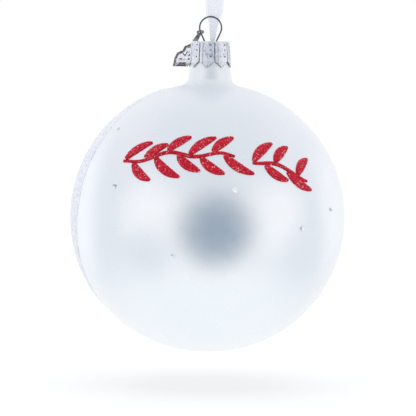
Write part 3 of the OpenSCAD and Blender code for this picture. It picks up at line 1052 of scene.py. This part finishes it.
def make_border():
    """A grainy band of white glitter between two cones about the front, thin at both its edges."""
    around, rows = 700, 44
    points = []
    for i in range(rows + 1):
        s = i / rows
        for j, (c, d) in enumerate(circle(around)):
            a = 2 * pi * j / around
            wander = radians(0.35) * sin(9 * a + 1.0) + radians(0.2) * sin(23 * a)
            angle = BORDER_INNER + (BORDER_ANGLE - BORDER_INNER) * s + wander * (1 if i == rows else 0)
            direction = cos(angle) * FACING + sin(angle) * (c * FRONT_RIGHT + d * FRONT_UP)
            body = min(1.0, 6 * s, 9 * (1 - s))
            lift = SKIN_GAP + body * (BORDER_RISE + abs(rng.normal(0, BORDER_GRAIN)))
            points.append(seat(CENTRE, direction, BELLY_R, max(lift, SKIN_GAP)))
    faces = [(a, d, c, b) for a, b, c, d in grid_faces(rows + 1, around)]
    under = len(points)
    for edge in points[:around] + points[rows * around :]:
        points.append(edge - BORDER_BACK * (edge - CENTRE).normalized())
    for j in range(around):
        n = (j + 1) % around
        faces.append((j, n, under + n, under + j))
        faces.append((rows * around + n, rows * around + j, under + around + j, under + around + n))
        faces.append((under + j, under + n, under + around + n, under + around + j))
    border = mesh_object("border_glitter", points, faces)
    finish_piece(border, "white_glitter", "ball", ["front_border"], smooth=False)


# ---- Front picture ---------------------------------------

SKY_LIFT = 0.18 * MM
LAYER_LOW = SKY_LIFT + 0.02 * MM
SNOW_LIFT = 0.5 * MM
RELIEF_LIFT = 0.82 * MM
ON_RELIEF = RELIEF_LIFT - 0.05 * MM
RIM_INSET = 0.12 * MM
PICTURE_R = BELLY_R * sin(PICTURE_ANGLE)


def front_point(x, y, lift):
    """The point at that lift above the glass in front of (x, y), as the picture's viewer sees it."""
    start = CENTRE + x * FRONT_RIGHT + y * FRONT_UP
    return seat(start, FACING, sqrt(BELLY_R**2 - x * x - y * y), lift)


def inside(x, y, loop):
    hit = False
    for (x0, y0), (x1, y1) in zip(loop, loop[1:] + loop[:1]):
        if (y0 > y) != (y1 > y) and x < (x1 - x0) * (y - y0) / (y1 - y0) + x0:
            hit = not hit
    return hit


def patch(outline, low, high, spacing=0.8 * MM, bevel=0.09 * MM, grain=0.0):
    """A raised plate that follows the glass, over an outline in the picture's plane, in metres."""
    loop = []
    for (x0, y0), (x1, y1) in zip(outline, outline[1:] + outline[:1]):
        parts = max(1, ceil(hypot(x1 - x0, y1 - y0) / spacing))
        loop += [(x0 + (x1 - x0) * k / parts, y0 + (y1 - y0) * k / parts) for k in range(parts)]
    rim = len(loop)
    inner = []
    for k, (x, y) in enumerate(loop):
        before, after = loop[k - 1], loop[(k + 1) % rim]
        run = Vector((after[0] - before[0], after[1] - before[1])).normalized()
        inner.append((x - run.y * RIM_INSET, y + run.x * RIM_INSET))
    if not inside(*inner[0], loop) and not inside(*inner[rim // 2], loop):
        inner = [(2 * x - a, 2 * y - b) for (x, y), (a, b) in zip(loop, inner)]
    xs, ys = [x for x, _ in loop], [y for _, y in loop]
    dots = [Vector(p) for p in loop + inner]
    y = min(ys) + spacing / 2
    while y < max(ys):
        x = min(xs) + spacing / 2
        while x < max(xs):
            if inside(x, y, loop) and min(hypot(x - a, y - b) for a, b in loop) > 0.6 * spacing:
                dots.append(Vector((x, y)))
            x += spacing
        y += spacing
    edges = [(k, (k + 1) % rim) for k in range(rim)]
    flat, _, triangles, origins = delaunay_2d_cdt(dots, edges, [], 1, WELD)[:4]
    points, faces, sides = [], [], []
    for place, origin in zip(flat, origins):
        on_rim = bool(origin) and min(origin) < rim
        lift = high - bevel if on_rim else high + grain * rng.normal()
        points.append(front_point(place.x, place.y, lift))
    points += [front_point(place.x, place.y, low) for place in flat]
    count = len(flat)
    for triangle in triangles:
        faces.append(tuple(triangle))
        faces.append(tuple(count + k for k in reversed(triangle)))
        sides += zip(triangle, triangle[1:] + triangle[:1])
    both_ways = set(sides)
    faces += [(b, a, count + a, count + b) for a, b in sides if (b, a) not in both_ways]
    return points, faces


def mm_loop(points):
    return [(x * MM, y * MM) for x, y in points]


def circle_loop(x, y, radius, sides):
    return mm_loop([(x + radius * c, y + radius * s) for c, s in circle(sides)])


# The picture's own places in millimetres, from its middle. Hills, the moon: middle and radius. Houses:
# middle, width, height of wall and of roof. Firs: middle, foot and height.
HILLS = [(-16, -62, 52), (24, -56, 44)]
STREET = -12
HOUSES = [(-21, 9, 8, 5), (-10.5, 8, 12, 6), (-1, 9, 9, 6), (9.5, 8, 11, 5)]
EAVE, RIDGE = 0.9, 1.1
WINDOW_W, WINDOW_H, WINDOW_SIDE = 1.5, 1.9, 0.24
STOREY, SILL = 4, 1.6
CHIMNEY_W = 1.4
FIRS = [(20, -17, 17), (27, -20, 12), (-28, -18, 12), (13.5, -24, 10)]
FIR_SPREAD = 0.55
FLAKE_COUNT, FLAKE_REACH, FLAKE_CLEAR = 46, 32, 2.6
MOON = (14, 20, 5)
STARS = [(-20, 17), (-8, 25), (4, 18), (24, 10), (-3, 10), (-28, 5), (20, -1)]


def hill_loop():
    """The snow: the higher of the two hills, down to the picture's rim."""
    reach = PICTURE_R / MM - 1
    ground = []
    for k in range(121):
        x = reach * (-1 + 2 * k / 120)
        top = max(cy + sqrt(max(0.0, r * r - (x - cx) ** 2)) for cx, cy, r in HILLS)
        if top > -sqrt(reach * reach - x * x):
            ground.append((x, top))
    start, stop = atan2(ground[-1][1], ground[-1][0]), atan2(ground[0][1], ground[0][0])
    if stop > start:
        stop -= 2 * pi
    turns = [start + (stop - start) * k / 60 for k in range(1, 60)]
    return mm_loop(ground + [(reach * cos(a), reach * sin(a)) for a in turns])


def rectangle(x, y, width, height):
    return mm_loop([
        (x - width / 2, y), (x + width / 2, y), (x + width / 2, y + height), (x - width / 2, y + height)
    ])


def house_parts():
    """Walls with chimneys, snowy roofs and lit windows of the street's houses, and the walls' tones."""
    walls, roofs, lights, tones = [], [], [], []
    for k, (x, width, wall, roof) in enumerate(HOUSES):
        half = width / 2
        top = STREET + wall
        shape = [(x - half, STREET), (x + half, STREET), (x + half, top), (x, top + roof), (x - half, top)]
        parts = [mm_loop(shape), rectangle(x + half * 0.45, top + roof * 0.3, CHIMNEY_W, roof * 0.75)]
        for part in parts:
            points, faces = patch(part, SKY_LIFT + 0.01 * MM, RELIEF_LIFT)
            walls.append((points, faces))
            tones += [k / len(HOUSES)] * len(points)
        eave_x, eave_y = half + EAVE, top - roof / half * EAVE
        ridge = top + roof + RIDGE
        roofs.append(mm_loop([
            (x - eave_x, eave_y), (x - eave_x + 0.3, eave_y - 0.5),
            (x - half + 0.5, top - 0.5), (x, top + roof - 0.9), (x + half - 0.5, top - 0.5),
            (x + eave_x - 0.3, eave_y - 0.5), (x + eave_x, eave_y),
            (x + 0.3, ridge - 0.3), (x, ridge), (x - 0.3, ridge - 0.3),
        ]))
        for floor in range(int(wall // STOREY)):
            for side in (-WINDOW_SIDE, WINDOW_SIDE):
                if floor or side < 0:
                    sill = STREET + SILL + STOREY * floor
                    lights.append(rectangle(x + side * width, sill, WINDOW_W, WINDOW_H))
        lights.append(circle_loop(x, top + roof * 0.35, 0.75, 14))
    return walls, roofs, lights, tones


def fir_parts():
    """Three drooping tiers to a tree, each tipped with snow."""
    greens, snows = [], []
    for x, foot, height in FIRS:
        greens.append(rectangle(x, foot, height * 0.08, height * 0.14))
        for k in range(3):
            base = foot + height * (0.1 + 0.27 * k)
            half = height * FIR_SPREAD / 2 * (1 - 0.24 * k)
            top = foot + height * min(1.0, 0.55 + 0.25 * k)
            droop = height * 0.045
            spread = np.linspace(-0.97, 0.97, 17)
            hem = [(x + half * t, base + droop * cos(2.5 * pi * t)) for t in spread]
            corner = base - droop / 2
            greens.append(mm_loop([(x - half, corner)] + hem + [(x + half, corner), (x, top)]))
            for side in (-1, 1):
                tip = x + side * half
                snows.append(mm_loop([
                    (tip, corner), (tip - side * half * 0.42, base + droop * 0.7),
                    (tip - side * half * 0.4, base + (top - base) * 0.42),
                ]))
        peak = foot + height
        snows.append(mm_loop([(x - 0.55, peak - 1.8), (x + 0.55, peak - 1.8), (x, peak)]))
    return greens, snows


def star_loop(x, y):
    """Five points, with the notches nearer the middle."""
    tip, notch = 1.5, 0.675
    reaches = 5 * [tip, notch]
    return mm_loop([(x + r * s, y + r * c) for r, (c, s) in zip(reaches, circle(10))])


def moon_loop():
    x, y, radius = MOON
    outer = [(x + radius * cos(a), y + radius * sin(a)) for a in np.linspace(radians(60), radians(300), 26)]
    inner = [
        (x + radius * 0.62 + radius * 0.87 * cos(a), y + radius * 0.87 * sin(a))
        for a in np.linspace(radians(263), radians(97), 22)
    ]
    return mm_loop(outer + inner)


def snowfall_parts():
    """Small drops of glitter scattered over the sky, clear of the stars and of each other."""
    spots = STARS + [MOON[:2]]
    drops = []
    while len(drops) < FLAKE_COUNT:
        x, y = rng.uniform(-31, 31), rng.uniform(-8, 32)
        if hypot(x, y) < FLAKE_REACH and min(hypot(x - a, y - b) for a, b in spots) > FLAKE_CLEAR:
            spots.append((x, y))
            drops.append(circle_loop(x, y, rng.uniform(0.28, 0.5), 9))
    return drops


def front_piece(name, loops, slot, nodes=(), smooth=False, low=LAYER_LOW, high=SNOW_LIFT, **detail):
    parts = [patch(loop, low, high, **detail) for loop in loops]
    finish_piece(joined(name, parts), slot, "ball", nodes, smooth)


def make_front():
    front_piece(
        "front_sky_paint", [circle_loop(0, 0, PICTURE_R / MM - 0.1, 150)], "sky_paint", ["front_sky"],
        smooth=True, low=SKIN_GAP, high=SKY_LIFT, spacing=1.5 * MM, bevel=0.1 * MM,
    )
    front_piece(
        "front_snow_hills", [hill_loop()], "white_glitter", ["front_snow"],
        spacing=0.55 * MM, bevel=0.15 * MM, grain=0.05 * MM,
    )
    walls, roofs, lights, tones = house_parts()
    house = joined("front_house_walls", walls)
    mark_points(house, tones, "tone")
    finish_piece(house, "house_paint", "ball", ["front_houses"], smooth=False)
    front_piece(
        "front_roof_snow", roofs, "white_glitter", low=ON_RELIEF, high=RELIEF_LIFT + 0.28 * MM,
        spacing=0.5 * MM, grain=0.05 * MM,
    )
    front_piece(
        "front_windows", lights, "gold_glitter", low=ON_RELIEF, high=RELIEF_LIFT + 0.12 * MM,
    )
    greens, snows = fir_parts()
    front_piece(
        "front_fir_trees", greens, "green_glitter", ["front_trees"], high=RELIEF_LIFT,
        spacing=0.5 * MM, grain=0.05 * MM,
    )
    front_piece(
        "front_fir_snow", snows, "white_glitter", low=ON_RELIEF, high=RELIEF_LIFT + 0.2 * MM,
        spacing=0.5 * MM, grain=0.04 * MM,
    )
    golds = [moon_loop()] + [star_loop(x, y) for x, y in STARS]
    front_piece(
        "front_moon_and_stars", golds, "gold_glitter", ["front_moon_stars"],
        spacing=0.45 * MM, grain=0.04 * MM,
    )
    front_piece("front_snowfall", snowfall_parts(), "white_glitter", spacing=0.3 * MM)


make_ribbon()
make_knot()
make_ball()
make_cap()
make_hanger()
make_tag()
make_sprig("sprig_left_glitter", -42, 12, 10, ["sprig_left"])
make_sprig("sprig_right_glitter", 20, 47, 5, ["sprig_right"])
make_crystals()
make_border()
make_front()


# ---- Studio ----------------------------------------------

FLOOR_DROP = 12.5 * MM
FLOOR_HALF = 4.0
# The tent's soft boxes and gaps: direction, inner and outer angle in degrees, and colour. Each one is
# laid over the ones before it.
TENT_WHITE = (1.015, 1.015, 1.015, 1.0)
TENT_LOBES = [
    ((-1, 0.1, 0.0), 15, 75, (0.76, 0.80, 0.86)),
    ((1, 0.1, -0.05), 15, 75, (0.76, 0.80, 0.86)),
    ((0, 0, 1), 20, 100, (0.80, 0.81, 0.86)),
    ((0, -0.35, 1), 5, 60, (0.69, 0.735, 0.79)),
    ((0, 0, -1), 20, 70, (0.93, 0.97, 1.0)),
    ((-1, 0.9, 0.0), 5, 30, (1.0, 1.02, 1.06)),
    ((1, 0.84, 0.02), 5, 29, (0.98, 0.99, 1.02)),
    ((-0.78, -0.62, 0.05), 8, 34, (1.0, 1.0, 1.02)),
    ((0.87, -0.5, 0.03), 8, 34, (1.0, 1.0, 1.02)),
    ((-0.74, -0.52, -0.42), 3, 26, (0.72, 0.77, 0.82)),
    ((0.94, 0.05, -0.3), 3, 28, (0.76, 0.80, 0.85)),
    ((0.115, -0.98, -0.125), 6, 42, (0.15, 0.24, 0.34)),
]


def make_stage():
    floor_z = ball_lo.z - FLOOR_DROP
    corners = [
        (x * FLOOR_HALF, y * FLOOR_HALF, floor_z) for x, y in ((-1, -1), (1, -1), (1, 1), (-1, 1))
    ]
    floor = mesh_object("floor", corners, [(0, 1, 2, 3)])
    floor.data.materials.append(plain_backdrop())
    floor.visible_glossy = False


def make_overhead():
    """A very wide soft box above, which gives the ball its faint shadow."""
    data = bpy.data.lights.new("overhead", "SUN")
    data.energy = 1.2
    data.angle = radians(70)
    add_object("overhead", data).visible_glossy = False


def make_world():
    """A white tent with a cooler ceiling, soft boxes in front, and the dark gap for the lens."""
    world = bpy.data.worlds.new("tent")
    world.use_nodes = True
    bpy.context.scene.world = world
    tree = Nodes(world.node_tree)
    tree.nodes.clear()
    ray = tree.node("TexCoord").outputs["Generated"]
    colour = TENT_WHITE
    for direction, inner, outer, tint in TENT_LOBES:
        axis = {0: ray, 1: Vector(direction).normalized()}
        towards = tree.node("VectorMath", axis, operation="DOT_PRODUCT").outputs["Value"]
        limits = {"From Min": cos(radians(outer)), "From Max": cos(radians(inner))}
        inside_lobe = tree.node("MapRange", {"Value": towards, **limits}, interpolation_type="SMOOTHSTEP")
        colour = tree.mix(inside_lobe.outputs["Result"], colour, tint)
    background = tree.node("Background", {"Color": colour})
    tree.node("OutputWorld", {"Surface": background.outputs[0]})


make_stage()
make_world()
make_overhead()
bpy.context.scene.view_settings.view_transform = "Standard"
